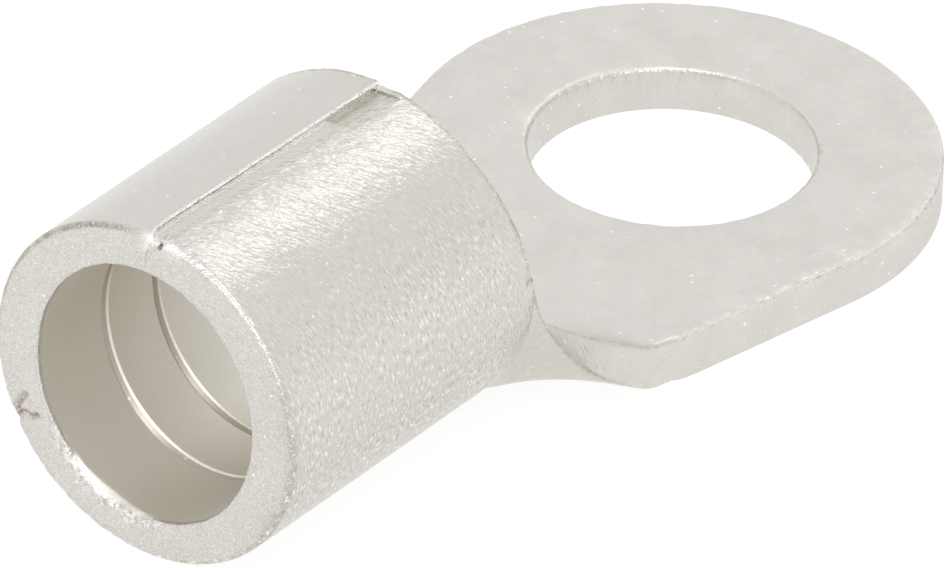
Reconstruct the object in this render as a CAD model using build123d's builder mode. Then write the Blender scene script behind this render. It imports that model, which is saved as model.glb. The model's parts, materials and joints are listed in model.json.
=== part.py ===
from build123d import *
from math import cos, degrees, radians, sin, sqrt, tan
import os

# Crimp ring terminal, pressed and rolled from one piece of plated copper sheet.
# Lengths are in millimetres and angles in degrees.
# The origin is on the axis of the stud hole, in the plane that the palm rests on.
# +Z runs up the stud, and the wire goes in along +X, through the mouth at the -X end.

# Sheet and overall layout
sheet = 1.43
mouth_to_hole = 25.1

# Ring and palm
stud_hole_diameter = 8.4
ring_width = 15.8
flank_taper = 11.6
outline_round = 0.16
hole_edge_round = 0.2

# Wire barrel
bore_diameter = 7.8
barrel_length = 10.6
mouth_edge_round = 0.22
mouth_lead_in = 0.2

# Butt seam along the top of the barrel. The lip on the +Y side stands, and the other one
# sinks towards it, with a fine slit between the two.
seam_offset = 0.04
sunk_lip_width = 0.8
sunk_lip_step = 0.13
slit_width = 0.04
slit_depth = 1.1

# Stretch near the far end where the sunk lip has come away from the standing one
gap_start = 8.15
gap_end = 10.35
gap_width = 0.2
gap_depth = 0.42
gap_lip_width = 0.95
gap_wall_lean = 0.08

# Wire-gripping grooves inside the barrel
first_groove = 3.07
groove_pitch = 2.34
groove_count = 2
groove_width = 0.34
groove_depth = 0.16

# Neck, where the rolled barrel opens out into the flat palm
neck_start = 11.1
neck_fillet_length = 3.3
neck_fillet_width = 2.6
far_edge_straight = 4.2
palm_behind_ring = 0.1

# How the neck unrolls: the first power sets how gently it leaves the barrel, the second how
# early it is flat. The sections stand closer together near the barrel, where the form
# changes fastest.
unroll_start_power = 1.3
unroll_end_power = 2.2
neck_sections = 8
section_power = 1.7

# The neck starts this far inside the barrel's wall, where it is a hair thinner on each side
neck_overlap = 0.3
hair = 0.01

# Sizes that follow from the ones above
ring_radius = ring_width / 2
hole_radius = stud_hole_diameter / 2
bore_radius = bore_diameter / 2
outer_radius = bore_radius + sheet
axis_height = outer_radius
barrel_top = axis_height + outer_radius
mouth_x = -mouth_to_hole
far_x = mouth_x + barrel_length
root_x = mouth_x + neck_start
flat_x = -ring_radius - palm_behind_ring
flank_x = -ring_radius * sin(radians(flank_taper))
flank_y = ring_radius * cos(radians(flank_taper))


def half_width(x):
    """Half the width of the flat blank at x, with the oval fillet that runs into the barrel."""
    flank = flank_y + (x - flank_x) * tan(radians(flank_taper))
    into_fillet = min(max((root_x - x) / neck_fillet_length + 1, 0), 1)
    return flank + neck_fillet_width * (1 - sqrt(1 - into_fillet**2))


def curl_left(x):
    """Part of the barrel's curvature that is left at x, from 1 in the barrel to 0 in the palm."""
    share = max(x - root_x, 0) / (flat_x - root_x)
    return (1 - share**unroll_start_power) ** unroll_end_power


def height_outside(y):
    """Height of the barrel's outer surface at y, on its upper side."""
    return axis_height + sqrt(outer_radius**2 - y**2)


def trough_profile(x):
    """Cross-section of the neck at x: an arc of sheet that grows flatter towards the palm."""
    radius = (bore_radius + sheet / 2) / curl_left(x)
    swing = degrees(half_width(x) / radius)
    half_sheet = sheet / 2 - hair
    centre = (0, radius + sheet / 2)
    with BuildSketch(Plane.YZ.offset(x)) as profile:
        with BuildLine():
            under = CenterArc(centre, radius + half_sheet, -90 - swing, 2 * swing)
            inside = CenterArc(centre, radius - half_sheet, -90 - swing, 2 * swing)
            Line(under @ 0, inside @ 0)
            Line(under @ 1, inside @ 1)
        make_face()
        rims = [profile.vertices().sort_by_distance(inside @ end)[0] for end in (0, 1)]
        fillet(rims, outline_round)
    return profile.sketch.face()


with BuildPart() as ring_terminal:
    # Palm and ring, with the upper edge of the outline rounded by the press
    with BuildSketch():
        Circle(ring_radius)
        with BuildLine():
            flank = Line((flat_x, half_width(flat_x)), (flank_x, flank_y))
            across = Line(flank @ 1, (flank_x, -flank_y))
            other_flank = Line(across @ 1, (flat_x, -half_width(flat_x)))
            Line(other_flank @ 1, flank @ 0)
        make_face()
    extrude(amount=sheet)
    palm_top = ring_terminal.faces().sort_by(Axis.Z)[-1]
    palm_end = ring_terminal.faces().sort_by(Axis.X)[0]
    fillet(palm_top.edges() - palm_end.edges(), outline_round)

    # Neck: a trough whose sides fold down until it is flat
    palm_end = ring_terminal.faces().sort_by(Axis.X)[0]
    neck = [trough_profile(root_x - neck_overlap)]
    for section in range(neck_sections):
        share = (section / neck_sections) ** section_power
        neck.append(trough_profile(root_x + share * (flat_x - root_x)))
    loft(neck + [palm_end])

    # Rolled barrel, with its mouth eased inside and rounded outside
    with BuildSketch(Plane.YZ.offset(mouth_x)):
        with Locations((0, axis_height)):
            Circle(outer_radius)
            Circle(bore_radius, mode=Mode.SUBTRACT)
    extrude(amount=neck_start)
    mouth_edges = ring_terminal.faces().sort_by(Axis.X)[0].edges().sort_by(SortBy.LENGTH)
    chamfer(mouth_edges[0], mouth_lead_in)
    fillet(mouth_edges[-1], mouth_edge_round)

    # The far end leans back towards the mouth as it rises from the rims of the neck
    above = barrel_top + sheet
    rim_swing = half_width(root_x) / (bore_radius + sheet / 2)
    rim_height = axis_height - outer_radius * cos(rim_swing)
    with BuildSketch(Plane.XZ):
        with BuildLine():
            Polyline(
                (root_x, rim_height),
                (far_x, axis_height + far_edge_straight),
                (far_x, above),
                (root_x + sheet, above),
                (root_x + sheet, rim_height),
                close=True,
            )
        make_face()
    extrude(amount=2 * outer_radius, both=True, mode=Mode.SUBTRACT)

    # Gripping grooves, each a V turned into the bore's wall
    with BuildSketch(Plane.XZ):
        for groove in range(groove_count):
            with Locations((mouth_x + first_groove + groove * groove_pitch, axis_height)):
                Polygon(
                    (-groove_width / 2, bore_radius),
                    (0, bore_radius + groove_depth),
                    (groove_width / 2, bore_radius),
                    align=None,
                )
    revolve(axis=Axis((0, 0, axis_height), (1, 0, 0)), mode=Mode.SUBTRACT)

    # Seam: the sunk lip and the slit beside the standing one
    lip_edge = seam_offset - sunk_lip_width
    with BuildSketch(Plane.YZ.offset(mouth_x)):
        Polygon(
            (seam_offset, above),
            (seam_offset, barrel_top - sunk_lip_step),
            (seam_offset - slit_width / 2, barrel_top - slit_depth),
            (seam_offset - slit_width, barrel_top - sunk_lip_step),
            (lip_edge, height_outside(lip_edge)),
            (lip_edge, above),
            align=None,
        )
    extrude(amount=neck_start, mode=Mode.SUBTRACT)

    # Gap at the far end of the seam
    lip_edge = seam_offset - gap_lip_width
    with BuildSketch(Plane.YZ.offset(mouth_x + gap_start)):
        Polygon(
            (seam_offset, above),
            (seam_offset, barrel_top),
            (seam_offset - gap_wall_lean, barrel_top - gap_depth),
            (seam_offset - gap_width, barrel_top - gap_depth),
            (lip_edge, height_outside(lip_edge)),
            (lip_edge, above),
            align=None,
        )
    extrude(amount=gap_end - gap_start, mode=Mode.SUBTRACT)

    # Stud hole, its upper edge drawn down by the punch
    with BuildSketch():
        Circle(hole_radius)
    extrude(amount=sheet, mode=Mode.SUBTRACT)
    hole_rim = ring_terminal.edges(Select.LAST).filter_by(GeomType.CIRCLE).sort_by(Axis.Z)[-1]
    fillet(hole_rim, hole_edge_round)

ring_terminal.part.label = "ring_terminal"
os.makedirs("parts", exist_ok=True)
export_step(ring_terminal.part, "parts/ring_terminal.step")
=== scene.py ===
import bpy, json
import numpy as np
from math import cos, pi, radians, sin
from mathutils import Matrix, Vector


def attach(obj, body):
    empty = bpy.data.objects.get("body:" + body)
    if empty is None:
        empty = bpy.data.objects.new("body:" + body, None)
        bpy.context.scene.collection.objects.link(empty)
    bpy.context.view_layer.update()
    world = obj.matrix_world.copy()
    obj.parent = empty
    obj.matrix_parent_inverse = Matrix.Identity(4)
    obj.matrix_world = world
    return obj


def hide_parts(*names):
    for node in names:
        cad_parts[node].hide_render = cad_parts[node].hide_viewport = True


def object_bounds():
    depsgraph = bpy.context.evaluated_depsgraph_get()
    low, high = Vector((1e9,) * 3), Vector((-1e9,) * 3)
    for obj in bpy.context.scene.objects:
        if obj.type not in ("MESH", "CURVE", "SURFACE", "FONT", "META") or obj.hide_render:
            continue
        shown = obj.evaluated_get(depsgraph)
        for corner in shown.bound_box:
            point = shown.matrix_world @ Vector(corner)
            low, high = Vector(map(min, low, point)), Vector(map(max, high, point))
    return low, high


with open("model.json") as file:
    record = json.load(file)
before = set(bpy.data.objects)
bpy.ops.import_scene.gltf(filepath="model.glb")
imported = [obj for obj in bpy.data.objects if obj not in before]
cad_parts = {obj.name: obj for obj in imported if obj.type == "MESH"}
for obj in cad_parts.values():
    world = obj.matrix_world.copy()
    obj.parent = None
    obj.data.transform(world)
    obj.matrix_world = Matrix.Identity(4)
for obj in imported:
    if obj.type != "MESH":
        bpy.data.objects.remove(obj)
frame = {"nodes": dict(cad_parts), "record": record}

mm = 0.001  # sizes below are in millimetres, and this brings them to metres
farOff = 9.0  # stands for a place with no edge or mark nearby
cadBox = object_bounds()
cadNode = frame["nodes"]["ring_terminal"]
mounts = {mount["name"]: mount for mount in frame["record"]["mounts"]}

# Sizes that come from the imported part
boreRadius = mounts["wire_barrel"]["dims"]["r_mm"]
axisHeight = mounts["wire_barrel"]["pos_m"][2] / mm
holeRadius = mounts["stud_hole"]["dims"]["r_mm"]
palmTop = mounts["palm_top"]["pos_m"][2] / mm
mouthX = cadBox[0].x / mm
ringRadius = cadBox[1].x / mm
outerRadius = axisHeight


def selectNone():
    for other in bpy.context.selected_objects:
        other.select_set(False)


def makeActive(piece):
    selectNone()
    piece.select_set(True)
    bpy.context.view_layer.objects.active = piece


# Camera, as the photograph was taken: from far away with a long lens
viewpoint = {
    "azimuth": -53.95,
    "elevation": 32.81,
    "roll": 2.11,
    "distance": 567.3,
    "aim": (-14.13, -3.33, 5.0),
    "lens": 760.3,
}


def makeCamera():
    v = viewpoint
    turn = Matrix.Rotation(radians(v["azimuth"]), 3, "Z")
    turn = turn @ Matrix.Rotation(radians(90 - v["elevation"]), 3, "X")
    turn = turn @ Matrix.Rotation(radians(v["roll"]), 3, "Z")
    place = Vector(v["aim"]) + turn @ Vector((0, 0, v["distance"]))
    bpy.ops.object.camera_add(location=place * mm, rotation=turn.to_euler())
    camera = bpy.context.object
    camera.name = "photoCamera"
    camera.data.lens = v["lens"]
    camera.data.clip_start = 0.01
    camera.data.clip_end = 10
    bpy.context.scene.camera = camera
    print("camera stands", v["distance"], "mm away")


makeCamera()


# Shader tools: a wrapped socket that takes plain sums, and one way to add a node
class Wire:
    def __init__(self, finish, socket):
        self.finish = finish
        self.socket = socket

    def maths(self, operation, *terms):
        node = self.finish.node("ShaderNodeMath", {"operation": operation})
        for place, term in zip(node.inputs, terms):
            self.finish.feed(place, term)
        return Wire(self.finish, node.outputs[0])

    def __add__(self, other):
        return self.maths("ADD", self, other)

    def __radd__(self, other):
        return self.maths("ADD", other, self)

    def __sub__(self, other):
        return self.maths("SUBTRACT", self, other)

    def __rsub__(self, other):
        return self.maths("SUBTRACT", other, self)

    def __mul__(self, other):
        return self.maths("MULTIPLY", self, other)

class Finish:
    def __init__(self, name):
        self.material = bpy.data.materials.new(name)
        self.material.use_nodes = True
        self.tree = self.material.node_tree
        self.tree.nodes.clear()

    def feed(self, place, value):
        if isinstance(value, Wire):
            self.tree.links.new(value.socket, place)
        elif place.type == "RGBA" and len(value) == 3:
            place.default_value = (*value, 1)
        else:
            place.default_value = value

    def node(self, kind, settings=None, inputs=None):
        made = self.tree.nodes.new(kind)
        for key, value in (settings or {}).items():
            setattr(made, key, value)
        for key, value in (inputs or {}).items():
            self.feed(made.inputs[key], value)
        return made

    def out(self, kind, output, settings=None, inputs=None):
        made = self.node(kind, settings, inputs)
        return Wire(self, made.outputs[output])

    def noise(self, where, scale, detail=2.0, roughness=0.5, distortion=0.0):
        values = {"Vector": where, "Scale": scale, "Detail": detail, "Roughness": roughness,
                  "Distortion": distortion}
        return self.out("ShaderNodeTexNoise", "Fac", None, values)

    def ramp(self, value, low, high):
        return self.out("ShaderNodeMapRange", "Result", {"clamp": True},
                        {"Value": value, "From Min": low, "From Max": high})

    def mix(self, share, first, second):
        made = self.node("ShaderNodeMix", {"data_type": "RGBA"})
        self.feed(made.inputs[0], share)
        self.feed(made.inputs[6], first)
        self.feed(made.inputs[7], second)
        return Wire(self, made.outputs[2])

    def attribute(self, name):
        return self.out("ShaderNodeAttribute", "Fac", {"attribute_name": name})


# The terminal: the pressed sheet with the relief that pressing and rolling leave
terminal = {
    "sheet": 1.43,
    "barrelLength": 10.6,
    "neckStart": 11.1,
    "neckRimHeight": 5.9,
    "farEdgeRise": 4.2,
    "flankTaper": 11.6,
    "filletLength": 3.3,
    "filletWidth": 2.6,
    "palmBehindRing": 0.1,
    "unrollPowers": (1.3, 2.2),
    "leadIn": 0.2,
    "firstGroove": 3.07,
    "groovePitch": 2.34,
    "grooveDepth": 0.16,
    "skinDepth": 0.5,  # what lies less deep than this in the barrel's wall counts as its skin
    "endMargin": 0.5,  # how far past the far end's slant the barrel's rims are looked for
    "neckMargin": 0.3,
    # Seam
    "seamPlace": 0.04,
    "seamWidth": 0.04,
    "seamShift": (0.06, -0.11),  # to the side, at the mouth and at the far end
    "seamShiftFade": (0.5, 2.2),
    "seamHook": (-0.42, 0.22, 0.3),  # at the mouth: shift, then how far in and how deep it reaches
    "seamHookFade": (0.15, 1.1),
    "sunkLipStep": 0.13,
    "sunkLipWidth": 0.8,
    "stepFillet": (0.045, 0.14),  # the sunk lip rises to the standing one: height and reach
    "stepFilletFade": (0.3, 0.5),
    "lipGap": 0.003,
    "slitReach": 0.03,  # half the width in which the slit's walls are found
    "slitMargins": (0.1, 0.015),  # kept free above the bore and below the lips
    "cornerReach": (0.015, 0.02),
    "stepMargins": (0.012, 0.03, 0.002),  # below the step, below the top, and beside the wall
    "gapReach": (8.15, 10.35),
    "gapSlope": (0.95, 0.21),  # reach beside the seam, and depth at the standing lip
    "gapLowest": 9.9,
    "gapMargins": (0.01, 0.02),  # along the barrel, and beside the seam
    # Mesh: the longest edge on flat and curved stretches, at rims, in the rippled skin, and
    # where the form is finest, along the seam and in the nicks
    "flatEdge": 1.0,
    "curvedEdge": 0.34,
    "rimEdge": 0.13,
    "peelEdge": 0.14,
    "fineEdge": 0.07,
    "rimReach": 0.26,
    "seamReach": 0.16,
    "wornMesh": (0.5, 1.8),  # reach of the fine mesh low on the mouth, and its angle from the top
    "faceMesh": (0.05, 0.1),  # depth of the mouth's face, and of the marks on it
    "boreMesh": 0.1,
    "restMesh": 0.05,  # the underside is this low
    "peelMesh": 0.3,  # share of ripples that wants a finer mesh
    "refineSteps": 40,
    "onSurface": 0.012,
    "faces": 180000,
    "smoothAngle": 42,
    # Press and wear
    "sheetWave": (0.012, 0.45, 1),  # depth, waves for each millimetre, seed
    "rimWear": (0.03, 4.2, 3),
    "rimFull": 0.1,  # full wear this near a rim
    "wearFromSeam": 0.3,
    "lipRound": (0.032, 0.09),  # depth and reach
    "lipBeads": (0.012, 5.0, 7),
    "lipSkin": (0.012, 0.03),  # beside the lip's wall, and below the surface
    "mouthRoundness": 0.4,  # the lower, the crisper the mouth's inner edge
    "wornBevel": 0.07,  # extra bevel low on the mouth's inner edge
    "wornPlace": (3.45, 0.5),  # angle from the top, and reach
    "wornChips": ((0.3, 2.2, 9), (0.12, 6.0, 10)),  # share, waves for each millimetre, seed
    "wornReach": 0.6,
    "boreOval": 0.13,  # the bore is higher than wide by four times this
    "boreOvalFade": 7.5,
    "boreOvalWall": (0.25, 0.15),  # fades out from this far off the bore to this far off the skin
    "peelDepth": 0.022,
    "peelAlong": 3.2,  # ripples for each millimetre along the barrel
    "peelRound": 1.5,  # and round it
    "peelBend": (0.3, 0.6, (5, 6)),  # share, waves for each ripple, seeds
    "peelWaves": ((0.45, 1.0, 2), (0.2, 2.1, 4)),
    "peelFrom": 0.75,  # the rippled skin starts this far from the seam
    "peelOnset": (0.7, 1.2),  # where it sets in, in shares of that distance
    "peelFade": (3.2, 6.4),
    "peelLoss": 0.75,  # share lost down the barrel
    "peelEnd": 9.5,
    "peelSkin": (0.3, 0.12),  # sets in between these depths in the wall
    "peelFarEnd": (-0.1, 1.2),  # and fades out round the barrel's far end
    "peelTilt": (4.0, 3.6),  # the ripples lean along the barrel near the seam
    # Marks on the mouth's face as chains of (y, z), with depth, half width and darkness
    "marks": [
        {"chain": [(4.26, 3.57), (4.42, 3.25), (4.48, 3.0), (4.74, 2.78)],
         "depth": 0.09, "wide": 0.13, "tone": 0.75},
        {"chain": [(4.42, 2.96), (4.19, 3.02), (3.97, 2.93), (3.8, 3.04)],
         "depth": 0.08, "wide": 0.11, "tone": 0.8},
        {"chain": [(4.43, 2.9), (4.58, 2.45)], "depth": 0.12, "wide": 0.18, "tone": 1.0},
        {"chain": [(-0.36, 10.55), (-0.33, 10.42)], "depth": 0.16, "wide": 0.1, "tone": 1.0},
        {"chain": [(-0.33, 10.4), (-0.11, 10.12), (-0.06, 9.78), (0.02, 9.5)],
         "depth": 0.02, "wide": 0.05, "tone": 0.15},
    ],
    "markMargins": (1.6, 1.4),  # round a mark, in half widths: for the mesh and for the tone
    "markFade": (0.2, 0.35),  # how far behind the face a mark reaches
    "creaseReach": 0.9,
    "creasePasses": 40,
    "creaseFrom": (1.75, 1.95),  # angle from the top
    "creaseSkin": (0.25, 0.05),  # depths in the wall between which it sets in
    "creaseShift": 0.1,
    "creaseFloor": 0.02,
    # Where the zones of the finish fade, in millimetres, or in radians from the barrel's top
    "fades": {
        "barrelEnd": (-4, -1),
        "bore": (0.03, 0.25),
        "boreStart": (0.05, 0.2),
        "boreEnd": (-3, 0),
        "groove": 0.2,
        "edge": (0.06, 0.24),
        "chip": (0.1, 0.28),
        "chipSide": (0.4, 0.5, 1.0),
        "face": (0.02, 0.12),
        "farEdge": (0.03, 0.16),
        "farEdgeHeight": (5.9, 6.8),
        "gapFoot": (0.22, 0.62),
        "lip": (0.02, 0.07),
        "lipSkin": (0.012, 0.02),
        "lowEdge": (0.1, 0.34),
        "lowEdgeTurn": (1.7, 0.8, 0.3),
        "lowSide": (1.0, 2.3),
        "mouthEdge": (0.1, 0.2),
        "mouthEdgeTurn": (-0.85, 0.95, 0.5),
        "neckInside": (0.04, 0.2),
        "neckOutside": (0.03, 0.25),
        "neckEnd": (-12.0, -9.6),
        "neckOuter": 0.4,
        "rolled": (0.25, 0.1),
        "seamFoot": (0.04, 0.07),
        "seamFootSide": 0.06,
        "sheared": (0.1, 0.3),
        "shearedEnd": (-4, -2),
        "sunk": (0.5, 0.95),
        "tip": (0, 7.5),
        "tipRim": 0.4,
        "worn": (0.2, 0.45),
        "wornTurn": (3.5, 0.75, 0.25),
        "wornDepth": (0.1, 0.22),
    },
}


def readPlaces(mesh):
    places = np.zeros(len(mesh.vertices) * 3)
    mesh.vertices.foreach_get("co", places)
    return places.reshape(-1, 3)


def readNormals(mesh):
    normals = np.zeros(len(mesh.vertices) * 3)
    mesh.vertices.foreach_get("normal", normals)
    return normals.reshape(-1, 3)


def writePlaces(mesh, places):
    mesh.vertices.foreach_set("co", places.ravel())
    mesh.update()


def fade(value, start, end):
    share = np.clip((value - start) / (end - start), 0, 1)
    return share * share * (3 - 2 * share)


# Smooth random waves between -1 and 1, from a table of random values that repeats
def waves(places, perMm, seed):
    size, offset = 32, 500  # the offset keeps every place positive
    table = np.random.default_rng(seed).uniform(-1, 1, (size, size, size))
    grid = places * perMm + offset
    cell = np.floor(grid).astype(int)
    share = fade(grid - cell, 0, 1)
    total = np.zeros(len(places))
    for corner in np.ndindex(2, 2, 2):
        weight = np.prod(np.where(corner, share, 1 - share), axis=1)
        total += weight * table[tuple(((cell + corner) % size).T)]
    return total


def barrelPlace(places):
    across = np.hypot(places[:, 1], places[:, 2] - axisHeight)
    angle = np.arctan2(-places[:, 1], places[:, 2] - axisHeight)
    return across, angle


# Share of the rippled skin: on the sunk side of the seam, fading down the barrel
def peelShare(places):
    v = terminal
    across, angle = barrelPlace(places)
    fromSeam = angle * outerRadius + v["seamPlace"]
    onset, full = v["peelOnset"]
    share = fade(fromSeam, v["peelFrom"] * onset, v["peelFrom"] * full)
    share *= 1 - v["peelLoss"] * fade(fromSeam, *v["peelFade"])
    deep, shallow = v["peelSkin"]
    share *= fade(across, outerRadius - deep, outerRadius - shallow)
    before, behind = v["peelFarEnd"]
    share *= 1 - fade(places[:, 0], farLean(places) + before, farLean(places) + behind)
    return share * (fromSeam < v["peelEnd"])


def farLean(places):
    rise = np.clip((places[:, 2] - axisHeight) / terminal["farEdgeRise"], 0, 1)
    run = terminal["neckStart"] - terminal["barrelLength"]
    return mouthX + terminal["neckStart"] - rise * run


# Half the blank's width, and the height and half width of the neck's rim, inside or outside
def neckRim(x, side):
    v = terminal
    taper = radians(v["flankTaper"])
    rootX = mouthX + v["neckStart"]
    flatX = -ringRadius - v["palmBehindRing"]
    into = np.clip((rootX - x) / v["filletLength"] + 1, 0, 1)
    halfWidth = ringRadius * cos(taper) + (x + ringRadius * sin(taper)) * np.tan(taper)
    halfWidth += v["filletWidth"] * (1 - np.sqrt(1 - into**2))
    share = np.clip((x - rootX) / (flatX - rootX), 0, 0.999)  # stops short of a flat sheet
    start, end = v["unrollPowers"]
    radius = (boreRadius + v["sheet"] / 2) / (1 - share**start) ** end
    swing = halfWidth / radius
    arm = radius + side * v["sheet"] / 2
    return arm * np.sin(swing), radius + v["sheet"] / 2 - arm * np.cos(swing)


def rimDistances(places):
    v = terminal
    x, y, z = places.T
    across, angle = barrelPlace(places)
    away = np.hypot(x, y)
    taper = radians(v["flankTaper"])
    lean = farLean(places)
    inBarrel = (x < lean + v["endMargin"]) & (z > v["neckRimHeight"])
    onTop = inBarrel & (across > outerRadius - v["skinDepth"]) & (z > axisHeight)
    onFlank = x < -ringRadius * sin(taper)
    flank = ringRadius - np.abs(y) * cos(taper) + x * sin(taper)
    outline = np.where(onFlank, flank, ringRadius - away)
    far = np.full(len(places), farOff)
    inNeck = (x > mouthX + v["neckStart"] - v["neckMargin"]) & (x < -ringRadius)
    rims = {
        "mouthOut": np.hypot(x - mouthX, across - outerRadius),
        "mouthIn": np.hypot(x - mouthX, across - boreRadius),
        "farOut": np.where(inBarrel, np.hypot(x - lean, across - outerRadius), far),
        "farIn": np.where(inBarrel, np.hypot(x - lean, across - boreRadius), far),
        "hole": np.hypot(away - holeRadius, z - palmTop),
        "outline": np.where(x > -ringRadius, np.hypot(outline, z - palmTop), far),
        "seam": np.where(onTop, np.abs(y - v["seamPlace"]), far),
    }
    for name, side in (("neckInside", -1), ("neckOutside", 1)):
        rimY, rimZ = neckRim(x[inNeck], side)
        rims[name] = far.copy()
        rims[name][inNeck] = np.hypot(np.abs(y[inNeck]) - rimY, z[inNeck] - rimZ)
    return rims


def rimDistance(places):
    return np.min(list(rimDistances(places).values()), axis=0)


# Depth of a mark at each place on the mouth's face, as a share of its full depth
def markShare(places, mark, widen=1.0):
    share = np.zeros(len(places))
    full, gone = terminal["markFade"]
    near = places[:, 0] < mouthX + gone
    onFace = 1 - fade(places[near, 0], mouthX + full, mouthX + gone)
    flat = places[near, 1:]
    nearest = np.full(len(flat), farOff)
    for start, end in zip(mark["chain"], mark["chain"][1:]):
        start, along = np.array(start), np.array(end) - start
        part = np.clip((flat - start) @ along / (along @ along), 0, 1)
        away = np.linalg.norm(flat - start - part[:, None] * along, axis=1)
        nearest = np.minimum(nearest, away)
    share[near] = np.clip(1 - nearest / (widen * mark["wide"]), 0, 1) * onFace
    return share


def inGap(places):
    v = terminal
    into, beside = places[:, 0] - mouthX, v["seamPlace"] - places[:, 1]
    along, across = v["gapMargins"]
    inside = (into > v["gapReach"][0] - along) & (into < v["gapReach"][1] + along)
    inside &= (beside > 0) & (beside < v["gapSlope"][0] + across)
    return inside & (places[:, 2] > v["gapLowest"])


def wantedEdge(places):
    v = terminal
    x, y, z = places.T
    face, marked = v["faceMesh"]
    wanted = np.where((x > -ringRadius) | (x < mouthX + face), v["flatEdge"], v["curvedEdge"])
    across, angle = barrelPlace(places)
    inBore = (across < boreRadius + v["boreMesh"]) & (x < mouthX + v["neckStart"])
    wanted = np.where(inBore | (z < v["restMesh"]), v["flatEdge"], wanted)
    wanted = np.where(peelShare(places) > v["peelMesh"], v["peelEdge"], wanted)
    rims = rimDistances(places)
    reach, start = v["wornMesh"]
    worn = (rims["mouthIn"] < reach) & (np.abs(angle) > start)
    wanted = np.where((rimDistance(places) < v["rimReach"]) | worn, v["rimEdge"], wanted)
    fine = (rims["seam"] < v["seamReach"]) | inGap(places)
    for mark in v["marks"]:
        fine |= (markShare(places, mark, v["markMargins"][0]) > 0) & (x < mouthX + marked)
    return np.where(fine, v["fineEdge"], wanted)


# Halves the longest edge of each face that is too coarse, until none is
def refine(places, faces):
    v = terminal
    for step in range(v["refineSteps"]):
        sides = np.sort(faces[:, [0, 1, 1, 2, 2, 0]].reshape(-1, 2), axis=1)
        keys, side = np.unique(sides[:, 0] * len(places) + sides[:, 1], return_inverse=True)
        side = side.reshape(-1, 3)
        first, second = places[keys // len(places)], places[keys % len(places)]
        length = np.linalg.norm(first - second, axis=1)
        middle = (first + second) / 2
        tooLong = length > v["fineEdge"]
        tooLong[tooLong] = length[tooLong] > wantedEdge(middle[tooLong])
        longest = side[np.arange(len(faces)), length[side].argmax(axis=1)]
        halved = np.zeros(len(keys), bool)
        halved[longest[tooLong[side].any(axis=1)]] = True
        if not halved.any():
            break
        added = np.full(len(keys), -1)
        added[halved] = len(places) + np.arange(halved.sum())
        places = np.concatenate([places, middle[halved]])
        new = added[side]
        count = (new >= 0).sum(axis=1)
        parts = [faces[count == 0]]
        for turn in range(3):
            a, b, c = np.roll(faces, -turn, axis=1).T
            ab, bc, ca = np.roll(new, -turn, axis=1).T
            pick = (count == 1) & (ab >= 0)
            parts += [np.stack(t, axis=1)[pick] for t in ((a, ab, c), (ab, b, c))]
            pick = (count == 2) & (ab < 0)
            parts += [np.stack(t, axis=1)[pick] for t in ((ca, bc, c), (a, b, bc), (a, bc, ca))]
        a, b, c = faces[count == 3].T
        ab, bc, ca = new[count == 3].T
        parts += [np.stack(t, axis=1) for t in ((a, ab, ca), (ab, b, bc), (ca, bc, c), (ab, bc, ca))]
        faces = np.concatenate(parts)
    return places, faces


# Points that refining has put on the chords of a round surface move out to the surface
def trueRounds(places):
    x = places[:, 0]
    across, angle = barrelPlace(places)
    for radius in (boreRadius, outerRadius):
        near = (np.abs(across - radius) < terminal["onSurface"]) & (x < mouthX + terminal["neckStart"])
        places[near, 1] *= radius / across[near]
        places[near, 2] = axisHeight + (places[near, 2] - axisHeight) * radius / across[near]
    away = np.hypot(x, places[:, 1])
    flankEnd = -ringRadius * sin(radians(terminal["flankTaper"]))
    for radius, start in ((holeRadius, -holeRadius), (ringRadius, flankEnd)):
        near = (np.abs(away - radius) < terminal["onSurface"]) & (x > start)
        places[near, :2] *= (radius / away[near])[:, None]


# The slit's two walls are pressed together below the lips, and the sunk lip rises to the
# standing one in a small fillet
def closeSlit(places):
    v = terminal
    x, y, z = places.T
    top = axisHeight + outerRadius
    step = top - v["sunkLipStep"]
    beforeNeck = x < mouthX + v["neckStart"]
    middle = v["seamPlace"] - v["seamWidth"] / 2
    low, high = v["slitMargins"]
    inSlit = (np.abs(y - middle) < v["slitReach"]) & (z > axisHeight + boreRadius + low)
    inSlit &= (z < step - high) & beforeNeck & ~inGap(places)
    places[inSlit, 1] = middle
    across, upright = v["cornerReach"]
    corner = (np.abs(y) < across) & (np.abs(z - step) < upright) & beforeNeck
    places[corner, 1] = v["seamPlace"] - v["lipGap"]
    rise, reach = v["stepFillet"]
    beside = v["seamPlace"] - y
    below, under, aside = v["stepMargins"]
    skin = (z > step - below) & beforeNeck & ~inGap(places)
    onStep = skin & (z < top - under) & (beside > aside) & (beside < v["sunkLipWidth"])
    fillet = rise * np.exp(-beside / reach) * (1 - fade(beside, *v["stepFilletFade"]))
    places[onStep, 2] += fillet[onStep]
    onWall = skin & (z < step + rise) & (np.abs(beside) < aside)
    places[onWall, 2] = step + rise


# The gap is a shallow slope that falls towards the standing lip
def hollowGap(places):
    v = terminal
    edge, deep = v["gapSlope"]
    beside = v["seamPlace"] - places[:, 1]
    barrelTop = axisHeight + outerRadius
    edgeHeight = axisHeight + np.sqrt(outerRadius**2 - (v["seamPlace"] - edge) ** 2)
    share = np.clip(beside / edge, 0, 1)
    slope = barrelTop - deep + share * (edgeHeight - barrelTop + deep)
    low = inGap(places) & (places[:, 2] < slope)
    places[low, 2] = slope[low]


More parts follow.
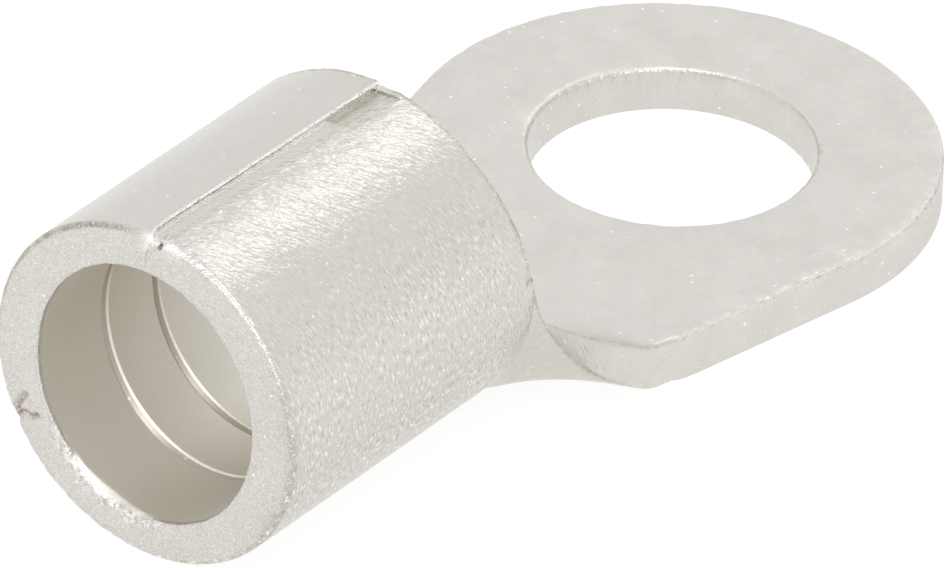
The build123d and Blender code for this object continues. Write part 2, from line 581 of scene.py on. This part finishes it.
# The mouth's inner edge rolls over in a small, crisp round
def roundMouth(places):
    x = places[:, 0]
    across, angle = barrelPlace(places)
    ease = terminal["leadIn"]
    into = x - mouthX
    onChamfer = np.abs(into + across - boreRadius - ease) < 0.01
    near = (into > -0.001) & (into < ease + 0.001) & onChamfer
    swing = np.clip(into / ease, 0, 1) * pi / 2
    power = terminal["mouthRoundness"]
    newAcross = boreRadius + ease * (1 - np.sin(swing) ** power)
    places[near, 0] = (mouthX + ease * (1 - np.clip(np.cos(swing), 0, 1) ** power))[near]
    places[near, 1] *= (newAcross / across)[near]
    places[near, 2] = (axisHeight + (places[:, 2] - axisHeight) * newAcross / across)[near]


# Low on its left, the mouth's inner edge is worn to a wider bevel
def wearMouth(places):
    v = terminal
    across, angle = barrelPlace(places)
    middle, reach = v["wornPlace"]
    low = np.exp(-(((angle % (2 * pi) - middle) / reach) ** 2))
    ragged = 1
    for share, perMm, seed in v["wornChips"]:
        ragged = ragged + share * waves(places, perMm, seed)
    bevel = (v["leadIn"] + v["wornBevel"] * ragged) * low
    into = places[:, 0] - mouthX
    near = (into < v["wornReach"]) & (across < boreRadius + v["wornReach"])
    lift = np.where(near, np.clip(bevel - into - across + boreRadius, 0, 1) / 2, 0)
    places[:, 0] += lift
    places[:, 1] *= 1 + lift / across
    places[:, 2] += (places[:, 2] - axisHeight) * lift / across


# The rolled bore came out a little higher than wide
def ovalBore(places):
    v = terminal
    across, angle = barrelPlace(places)
    inner, outer = v["boreOvalWall"]
    share = 1 - fade(across, boreRadius + inner, outerRadius - outer)
    share *= 1 - fade(places[:, 0], mouthX + v["boreOvalFade"], mouthX + v["barrelLength"])
    pull = 1 + share * v["boreOval"] * np.cos(2 * angle) / np.maximum(across, 1)
    inside = places[:, 0] < mouthX + v["barrelLength"]
    places[inside, 1] *= pull[inside]
    places[inside, 2] = (axisHeight + (places[:, 2] - axisHeight) * pull)[inside]


# The seam runs a little askew, and hooks to the side at the mouth
def bendSeam(places):
    v = terminal
    x, y, z = places.T
    into, deep = x - mouthX, axisHeight + outerRadius - z
    beside = np.abs(y - v["seamPlace"])
    atMouth, atEnd = v["seamShift"]
    shift = atMouth + (atEnd - atMouth) * np.clip(into / v["barrelLength"], 0, 1)
    shift *= 1 - fade(beside, *v["seamShiftFade"])
    hook, reach, depth = v["seamHook"]
    hooked = hook * np.exp(-into / reach) * np.exp(-deep / depth)
    shift += hooked * (1 - fade(beside, *v["seamHookFade"]))
    shift *= (z > axisHeight) * (x < mouthX + v["neckStart"])
    widest = 5  # stays inside the barrel, where the heights below exist
    height = np.sqrt(outerRadius**2 - np.clip(y, -widest, widest) ** 2)
    newHeight = np.sqrt(outerRadius**2 - np.clip(y + shift, -widest, widest) ** 2)
    places[:, 2] += np.where(shift != 0, newHeight - height, 0)
    places[:, 1] += shift


# The outer crease where the barrel turns into the neck is drawn smooth
def easeCrease(mesh, places):
    v = terminal
    ends = np.zeros(len(mesh.edges) * 2, int)
    mesh.edges.foreach_get("vertices", ends)
    first, second = ends[::2], ends[1::2]
    links = np.bincount(ends, minlength=len(places))
    across, angle = barrelPlace(places)
    rootX = mouthX + v["neckStart"]
    away = np.abs(places[:, 0] - rootX - v["creaseShift"])
    share = 1 - fade(away, v["creaseReach"] * 0.5, v["creaseReach"])
    deep, shallow = v["creaseSkin"]
    share *= fade(across, outerRadius - deep, outerRadius - shallow)
    share *= fade(np.abs(angle), *v["creaseFrom"]) * (places[:, 2] > v["creaseFloor"])
    moving = (share[first] > 0) | (share[second] > 0)
    first, second = first[moving], second[moving]
    for step in range(v["creasePasses"]):
        total = np.zeros_like(places)
        for axis in range(3):
            total[:, axis] = np.bincount(first, places[second, axis], len(places))
            total[:, axis] += np.bincount(second, places[first, axis], len(places))
        places += (total / np.maximum(links, 1)[:, None] - places) * 0.5 * share[:, None]


# How far along the barrel the ripples have leaned at a distance round it from the seam
def peelTilt(arc):
    reach, ease = terminal["peelTilt"]
    return reach * (1 - np.exp(-np.maximum(arc, 0) / ease))


def ripples(places):
    v = terminal
    across, angle = barrelPlace(places)
    flat = np.zeros(len(places))
    arc = angle * outerRadius
    along = places[:, 0] - peelTilt(arc)
    laid = np.stack([along * v["peelAlong"], arc * v["peelRound"], flat], axis=1)
    share, perMm, seeds = v["peelBend"]
    bend = [waves(laid, perMm, seed) for seed in seeds]
    bent = laid + share * np.stack([*bend, flat], axis=1)
    total = 0.5
    for share, perMm, seed in v["peelWaves"]:
        total = total + share * waves(bent, perMm, seed)
    return np.clip(total, 0, 1)


def pressRelief(mesh, places):
    v = terminal
    x, y, z = places.T
    across, angle = barrelPlace(places)
    rims = rimDistances(places)
    deep, perMm, seed = v["sheetWave"]
    depth = deep * (1 + waves(places, perMm, seed)) / 2
    depth *= z > v["restMesh"]
    depth += peelShare(places) * v["peelDepth"] * ripples(places)
    rim = 1 - fade(rimDistance(places), v["rimFull"], v["rimReach"])
    deep, perMm, seed = v["rimWear"]
    wear = (1 + waves(places, perMm, seed)) / 2
    depth += rim * deep * wear * (rims["seam"] > v["wearFromSeam"])
    beside = y - v["seamPlace"]
    aside, below = v["lipSkin"]
    roundDepth, reach = v["lipRound"]
    lip = (beside > -aside) & (rims["seam"] < reach) & (across > outerRadius - below)
    deep, perMm, seed = v["lipBeads"]
    beads = deep * waves(places, perMm, seed)
    depth += lip * (1 - beside / reach) * (roundDepth + beads)
    moved = places - readNormals(mesh) * depth[:, None]
    for mark in v["marks"]:
        moved[:, 0] += mark["depth"] * markShare(places, mark)
    return moved


# Shares between 0 and 1 that tell the finish what each place is
def markZones(mesh, places):
    v = terminal
    fades = v["fades"]
    across, angle = barrelPlace(places)
    x, y, z = places.T
    top = axisHeight + outerRadius
    rims = rimDistances(places)

    def near(rim, name):
        return 1 - fade(rims[rim], *fades[name])

    def past(place, start, name):
        low, high = fades[name]
        return fade(place, start + low, start + high)

    def turnedTo(turn, name):
        middle, outer, inner = fades[name]
        return fade(-np.abs(turn - middle), -outer, -inner)

    def below(surface, place, name):
        deep, shallow = fades[name]
        return fade(place, surface - deep, surface - shallow)

    onTop = z > axisHeight
    inBarrel = 1 - past(x, -ringRadius, "barrelEnd")
    underPalmTop = fade(palmTop - z, *fades["sheared"])
    bore = 1 - past(across, boreRadius, "bore")
    bore *= (1 - past(x, -ringRadius, "boreEnd")) * past(x, mouthX, "boreStart")
    grooves = [mouthX + v["firstGroove"] + n * v["groovePitch"] for n in (0, 1)]
    fromGroove = np.min([np.abs(x - place) for place in grooves], axis=0)
    inGroove = (fromGroove < fades["groove"]) * (across < boreRadius + fades["groove"])
    # Painted shade along the neck's rims, inside and outside, fading out towards the ring
    outsideNeck = 0.7 - fade(rims["neckOutside"], *fades["neckOutside"])
    neckShade = np.maximum(near("neckInside", "neckInside"), outsideNeck)
    outer = rims["neckOutside"] < fades["neckOuter"]
    neckShade *= 1 - fade(x, *fades["neckEnd"]) * (0.3 + 0.7 * outer)
    sunk = (1 - fade(-y, *fades["sunk"])) * (y < v["seamPlace"])
    sunk = sunk * (across > outerRadius - v["skinDepth"]) * onTop
    aside, under = fades["lipSkin"]
    lip = (1 - fade(y - v["seamPlace"], *fades["lip"])) * (y > v["seamPlace"] - aside)
    lip = lip * (rims["seam"] < 1) * (across > outerRadius - under)
    middle, full, end = fades["chipSide"]
    # Painted highlight on the mouth's outer edge around the seam, where it is chipped
    chip = near("mouthOut", "chip") * (1 - fade(np.abs(y + middle), full, end)) * onTop
    worn = near("mouthIn", "worn") * turnedTo(angle % (2 * pi), "wornTurn")
    marked = [markShare(places, mark, v["markMargins"][1]) * mark["tone"] for mark in v["marks"]]
    onRim = np.hypot(x, y) > ringRadius - fades["tipRim"]
    zones = {
        "rolled": below(outerRadius, across, "rolled") * inBarrel,
        "peeled": peelShare(places) ** 0.5,
        "inBore": bore,
        "edge": 1 - fade(rimDistance(places), *fades["edge"]),
        # Where painted shade goes on the mouth's and the far end's outer edges
        "mouthEdge": near("mouthOut", "mouthEdge") * turnedTo(angle, "mouthEdgeTurn"),
        "lowEdge": near("mouthOut", "lowEdge") * turnedTo(angle, "lowEdgeTurn"),
        "farEdge": near("farOut", "farEdge") * fade(z, *fades["farEdgeHeight"]),
        # Where painted light goes at the foot of the seam's step
        "seamFoot": (rims["seam"] < fades["seamFootSide"]) * fade(top - z, *fades["seamFoot"]),
        "lip": lip,
        "chip": chip,
        "neckEdge": neckShade,
        "sheared": underPalmTop * past(x, -ringRadius, "shearedEnd"),
        "face": 1 - past(x, mouthX, "face"),
        "marked": np.max(marked, axis=0),
        "deepness": np.clip((x - mouthX) / v["neckStart"], 0, 1),
        "grooveDeep": inGroove * np.clip((across - boreRadius) / v["grooveDepth"], 0, 1),
        "lowSide": fade(np.abs(angle), *fades["lowSide"]),
        "wornLow": worn * (1 - past(x, mouthX, "wornDepth")),
        "sunkStrip": sunk * inBarrel,
        "inGap": inGap(places) * (1 - fade(v["seamPlace"] - y, *fades["gapFoot"])),
        # Where painted shade goes on the ring's side towards its tip
        "tipSide": fade(x, *fades["tip"]) * underPalmTop * onRim,
    }
    for name, values in zones.items():
        mesh.attributes.new(name, "FLOAT", "POINT").data.foreach_set("value", values)
    # The rolled sheet laid flat: along the barrel, and round it from the seam
    flat = mesh.uv_layers.new(name="rolledSheet")
    corners = np.zeros(len(mesh.loops), int)
    mesh.loops.foreach_get("vertex_index", corners)
    turn = angle[corners].reshape(-1, 3)
    turn = turn[:, :1] + (turn - turn[:, :1] + np.pi) % (2 * np.pi) - np.pi
    arc = turn.ravel() * outerRadius
    flat.data.foreach_set("uv", np.stack([x[corners] - peelTilt(arc), arc], axis=1).ravel())


def makeTerminal():
    piece = cadNode.copy()
    piece.data = cadNode.data.copy()
    piece.name = "pressedTerminal"
    piece.data.name = "pressedTerminal"
    for key in list(piece.keys()):
        del piece[key]
    piece.parent = None
    bpy.context.scene.collection.objects.link(piece)
    makeActive(piece)
    if piece.data.has_custom_normals:
        bpy.ops.mesh.customdata_custom_splitnormals_clear()
    bpy.ops.object.mode_set(mode="EDIT")
    bpy.ops.mesh.select_all(action="SELECT")
    bpy.ops.mesh.remove_doubles(threshold=0.001 * mm)
    bpy.ops.mesh.mark_sharp(clear=True)
    bpy.ops.object.mode_set(mode="OBJECT")
    mesh = piece.data
    corners = np.zeros(len(mesh.polygons) * 3, int)
    mesh.polygons.foreach_get("vertices", corners)
    places, faces = refine(readPlaces(mesh) / mm, corners.reshape(-1, 3))
    mesh.clear_geometry()
    mesh.from_pydata(places, [], faces)
    trueRounds(places)
    closeSlit(places)
    hollowGap(places)
    roundMouth(places)
    wearMouth(places)
    easeCrease(mesh, places)
    writePlaces(mesh, places * mm)
    markZones(mesh, places)
    places = pressRelief(mesh, places)
    ovalBore(places)
    bendSeam(places)
    low, high = np.array(cadBox[0]) / mm, np.array(cadBox[1]) / mm
    writePlaces(mesh, np.clip(places, low, high) * mm)
    # The fine mesh is thinned out where it is flat, and flat faces keep a flat shade
    thin = piece.modifiers.new("thin", "DECIMATE")
    thin.ratio = min(1, terminal["faces"] / len(mesh.polygons))
    bpy.ops.object.modifier_apply(modifier="thin")
    mesh = piece.data
    writePlaces(mesh, np.clip(readPlaces(mesh), low * mm, high * mm))
    bpy.ops.object.shade_smooth_by_angle(angle=radians(terminal["smoothAngle"]))
    flatFaces = piece.modifiers.new("flatFaces", "WEIGHTED_NORMAL")
    flatFaces.keep_sharp = True
    bpy.ops.object.modifier_apply(modifier="flatFaces")
    print("terminal has", len(mesh.polygons), "faces")
    return piece


pressedTerminal = makeTerminal()

# Tin plate on copper sheet. Sizes of textures are in waves for each millimetre.
tinPlate = {
    "bright": (0.70, 0.68, 0.642),
    "dull": (0.625, 0.606, 0.57),
    "boreTint": (0.73, 0.70, 0.64),
    # Painted light: the bore's colour deep in, lighter than at the mouth
    "deepTint": (0.86, 0.835, 0.785),
    # Brown for the marks, the wear and the dark flecks, and for painted shade along edges
    "brown": (0.36, 0.30, 0.235),
    "grooveShade": (0.36, 0.32, 0.25),
    # Olive for patches, and for painted shade on the barrel's lower side and in the gap
    "olive": (0.56, 0.53, 0.45),
    # The colour of painted highlights and glints
    "sparkle": (1.0, 0.99, 0.96),
    "roughness": 0.28,
    "roughnessSpread": 0.12,
    "boreRougher": 0.26,
    "peelSmoother": 0.12,
    "wornSmoother": 0.1,
    "cloudSize": 0.6,
    "patchSize": 2.6,
    "chipSize": 6.0,
    "grainSize": 13.0,
    "fineGrain": 1.7,  # times the grain
    "grainHeight": 0.0035,
    "faceGrain": 6,
    "edgeGrain": 7,
    "shearedGrain": 2.5,
    "wornGrain": 4,
    "shearSize": (24.0, 24.0, 5.0),
    "shearHeight": 0.008,
    "peelStretch": (8.2, 3.9, 1.0),
    "peelHeight": 0.03,
    "strokeStretch": (9.0, 3.2, 1.0),
    "strokeHeight": 0.045,
    "fleckSize": 1.25,  # times the strokes
    "speckSize": 1.9,
    # How much of a tone goes on
    "olivePatches": 0.3,
    # Painted shade on the barrel's lower side
    "oliveSide": 0.4,
    # Painted shade in the gap's hollow
    "oliveGap": 0.6,
    # Painted light on the sunk strip beside the seam
    "brightStrip": 0.7,
    "tipShade": 0.6,
    # Painted shade along the mouth's, the far end's, the neck's and the low edges
    "brownMouth": 0.9,
    "brownFarEnd": 0.7,
    "brownNeck": 0.8,
    "brownLow": 0.45,
    "brownChips": 0.4,
    "darkFlecks": 0.85,
    "brightFlecks": 0.9,
    "specks": 0.8,
    # Painted light on the seam's foot
    "footGlint": 0.6,
    "wornGlint": 0.6,
}


def makeTinPlate():
    f = Finish("tinPlate")
    v = tinPlate
    where = f.out("ShaderNodeTexCoord", "Object")
    laid = f.out("ShaderNodeUVMap", "UV", {"uv_map": "rolledSheet"})

    def stretched(place, scale):
        return f.out("ShaderNodeMapping", "Vector", None, {"Vector": place, "Scale": scale})

    inMm = stretched(where, (1 / mm,) * 3)
    peelPlace = stretched(laid, v["peelStretch"])
    strokePlace = stretched(laid, v["strokeStretch"])
    shearPlace = stretched(inMm, v["shearSize"])
    rolled, peeled = f.attribute("rolled"), f.attribute("peeled")
    inBore, deepness = f.attribute("inBore"), f.attribute("deepness")
    face, sheared = f.attribute("face"), f.attribute("sheared")
    lowSide, wornLow = f.attribute("lowSide"), f.attribute("wornLow")
    grooveDeep, inGapHere = f.attribute("grooveDeep"), f.attribute("inGap")
    edge = f.ramp(f.attribute("edge"), 0.4, 1.0)
    nearSide = f.ramp(peeled + lowSide, 0.05, 0.4)
    grain = f.noise(inMm, v["grainSize"], 3, 0.65)
    fine = f.noise(inMm, v["grainSize"] * v["fineGrain"], 2, 0.6)
    cloud = f.noise(inMm, v["cloudSize"], 4, 0.6)
    patchy = f.noise(inMm, v["patchSize"], 3, 0.6)
    chips = f.noise(inMm, v["chipSize"], 2, 0.6)
    peel = f.noise(peelPlace, 1.0, 1.2, 0.45, 0.3)
    stroke = f.noise(strokePlace, 1.0, 2, 0.6)
    flecks = f.noise(strokePlace, v["fleckSize"], 2, 0.6)
    shear = f.noise(shearPlace, 1.0, 2, 0.6)

    # Relief, in millimetres
    rough = 1 + face * v["faceGrain"] + edge * v["edgeGrain"] + sheared * v["shearedGrain"]
    rough = rough + wornLow * v["wornGrain"]
    height = grain * v["grainHeight"] * rough * (1 - inBore * 0.7)
    height = height + peel * peeled * v["peelHeight"]
    strokeShare = nearSide * (1 - peeled * 0.6) + (1 - nearSide) * 0.5
    height = height + stroke * rolled * strokeShare * v["strokeHeight"]
    height = height + shear * sheared * v["shearHeight"]
    bump = {"Height": height, "Distance": mm, "Strength": 1.0}
    normal = f.out("ShaderNodeBump", "Normal", None, bump)

    # Tone: clouds, grain and patches, lighter and darker stretches, and the matte bore, painted
    # lighter deeper in
    mottle = cloud * 0.45 + grain * 0.25 + patchy * 0.3
    mottle = f.ramp(mottle, 0.38, 0.62) * (1 - rolled * 0.6 - face * 0.4)
    tone = f.mix(mottle, v["dull"], v["bright"])
    patches = f.ramp(patchy * 0.5 + fine * 0.5, 0.5, 0.38) * (face + rolled * 0.5)
    tone = f.mix(patches * v["olivePatches"], tone, v["olive"])
    # Painted shade: the barrel's lower side is mixed towards olive
    tone = f.mix(f.ramp(lowSide, 0, 0.6) * rolled * v["oliveSide"], tone, v["olive"])
    # Painted light: the sunk strip beside the seam is mixed brighter
    strip = f.ramp(f.attribute("sunkStrip") - inGapHere * v["oliveGap"], 0, 1)
    tone = f.mix(strip * v["brightStrip"], tone, v["bright"])
    # Painted shade in the hollow of the gap, darkest at the foot of its slope
    tone = f.mix(inGapHere * v["oliveGap"], tone, v["olive"])
    # Painted light: the bore is mixed lighter deeper in, towards its open far end
    bore = f.mix(f.ramp(deepness, 0.25, 0.9), v["boreTint"], v["deepTint"])
    tone = f.mix(inBore, tone, bore)

    # Grooves: painted highlight on their low side, painted shade in the bottom
    grooveWall = f.ramp(grooveDeep, 0.05, 0.12)
    lit = f.ramp(grain, 0.35, 0.55) * 0.6 + 0.2
    tone = f.mix(grooveWall * lowSide * lit, tone, v["sparkle"])
    shaded = f.ramp(grooveDeep, 0.3, 0.42) + grooveWall * (1 - lowSide) * 0.5
    tone = f.mix(f.ramp(shaded, 0.0, 1.0) * (1 - lowSide * 0.2), tone, v["grooveShade"])
    # Painted shade on the ring's side towards its tip
    tone = f.mix(f.attribute("tipSide") * v["tipShade"], tone, v["grooveShade"])

    # Brown painted shade along the mouth's, the far end's and the neck's edges, and brown in the marks
    # and the worn rim
    edgeShade = f.attribute("mouthEdge") * v["brownMouth"] + f.attribute("farEdge") * v["brownFarEnd"]
    edgeShade = edgeShade + f.attribute("neckEdge") * v["brownNeck"] + f.attribute("lowEdge") * v["brownLow"]
    brownAndShadeShare = edgeShade * (f.ramp(patchy, 0.36, 0.6) * 0.7 + 0.3) + f.attribute("marked")
    brownAndShadeShare = brownAndShadeShare + wornLow * f.ramp(chips, 0.46, 0.38) * v["brownChips"]
    tone = f.mix(f.ramp(brownAndShadeShare, 0.0, 1.0), tone, v["brown"])

    # Dark flecks, then painted glints: bright flecks, specks, and painted highlights on the edges, the
    # face, the seam's foot, the lip, the mouth's chips and the worn rim
    dark = f.ramp(fine, 0.44, 0.3) * (f.ramp(patchy, 0.42, 0.58) + 0.3)
    dark = dark * (face * 0.4 + sheared * 0.3 + 0.08)
    fleckShare = rolled * nearSide * (1 - peeled * 0.8) * (f.ramp(deepness, 1.0, 0.9) * 0.85 + 0.15)
    dark = dark + f.ramp(flecks, 0.44, 0.3) * fleckShare * v["darkFlecks"]
    tone = f.mix(dark, tone, v["brown"])
    cells = f.out("ShaderNodeTexVoronoi", "Distance", None, {"Vector": inMm, "Scale": v["speckSize"]})
    glint = f.ramp(cells, 0.11, 0.06) * f.ramp(patchy, 0.45, 0.5) * (1 - inBore) * v["specks"]
    glint = glint + f.ramp(fine, 0.57, 0.68) * (edge * 0.8 + face * 0.6)
    glint = glint + f.ramp(flecks, 0.56, 0.68) * fleckShare * v["brightFlecks"]
    # Painted light on the seam's foot, against the shade under the standing lip
    glint = glint + f.attribute("seamFoot") * v["footGlint"]
    beads = f.ramp(grain, 0.4, 0.55) * 0.5 + 0.5
    glint = glint + (f.attribute("lip") + f.attribute("chip")) * beads
    glint = glint + wornLow * f.ramp(chips, 0.48, 0.58) * v["wornGlint"]
    tone = f.mix(f.ramp(glint, 0.0, 1.0), tone, v["sparkle"])

    roughness = f.ramp(grain, 0.3, 0.7) * v["roughnessSpread"] + v["roughness"]
    boreRough = inBore * v["boreRougher"] * (1 - f.ramp(grooveDeep, 0, 0.1) * 0.6)
    roughness = roughness + boreRough - peeled * v["peelSmoother"] - wornLow * v["wornSmoother"]
    shader = f.node("ShaderNodeBsdfPrincipled", None,
                    {"Base Color": tone, "Metallic": 1.0, "Roughness": roughness, "Normal": normal})
    output = f.node("ShaderNodeOutputMaterial")
    f.tree.links.new(shader.outputs[0], output.inputs[0])
    return f.material


pressedTerminal.data.materials.clear()
pressedTerminal.data.materials.append(makeTinPlate())
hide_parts("ring_terminal")
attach(pressedTerminal, "root")
print("terminal is dressed")

# Pale floor and soft studio light. The floor has a glow of its own, as a light table has.
studio = {
    "floorSize": 3000,
    "floorColour": (0.15, 0.15, 0.15),
    "floorGlow": 0.88,
    "skyStrength": 1.03,
    "aimedAt": (-8, 0, 4),
    "lamps": [
        {"name": "backSoftbox", "place": (235, 15, 245), "size": 130, "radiance": 0.87},
        {"name": "overSoftbox", "place": (-90, -60, 330), "size": 150, "radiance": 1.2},
        {"name": "frontSoftbox", "place": (-270, -190, 300), "size": 170, "radiance": 4.5},
    ],
}


def makeStudio():
    v = studio
    bpy.ops.mesh.primitive_plane_add(size=v["floorSize"] * mm, location=(0, 0, 0))
    floor = bpy.context.object
    floor.name = "paleFloor"
    f = Finish("paleFloor")
    shader = f.node("ShaderNodeBsdfPrincipled", None,
                    {"Base Color": v["floorColour"], "Roughness": 0.9,
                     "Emission Color": (1, 1, 1), "Emission Strength": v["floorGlow"]})
    output = f.node("ShaderNodeOutputMaterial")
    f.tree.links.new(shader.outputs[0], output.inputs[0])
    floor.data.materials.append(f.material)
    world = bpy.data.worlds.new("studioAir")
    bpy.context.scene.world = world
    world.use_nodes = True
    world.node_tree.nodes["Background"].inputs["Color"].default_value = (1, 1, 1, 1)
    world.node_tree.nodes["Background"].inputs["Strength"].default_value = v["skyStrength"]
    for lamp in v["lamps"]:
        place = Vector(lamp["place"]) * mm
        towards = Vector(v["aimedAt"]) * mm - place
        turn = towards.to_track_quat("-Z", "Y").to_euler()
        bpy.ops.object.light_add(type="AREA", location=place, rotation=turn)
        light = bpy.context.object
        light.name = lamp["name"]
        light.data.size = lamp["size"] * mm
        light.data.energy = lamp["radiance"] * pi * (lamp["size"] * mm) ** 2
    bpy.context.scene.view_settings.view_transform = "Standard"
    print("studio is lit")


makeStudio()
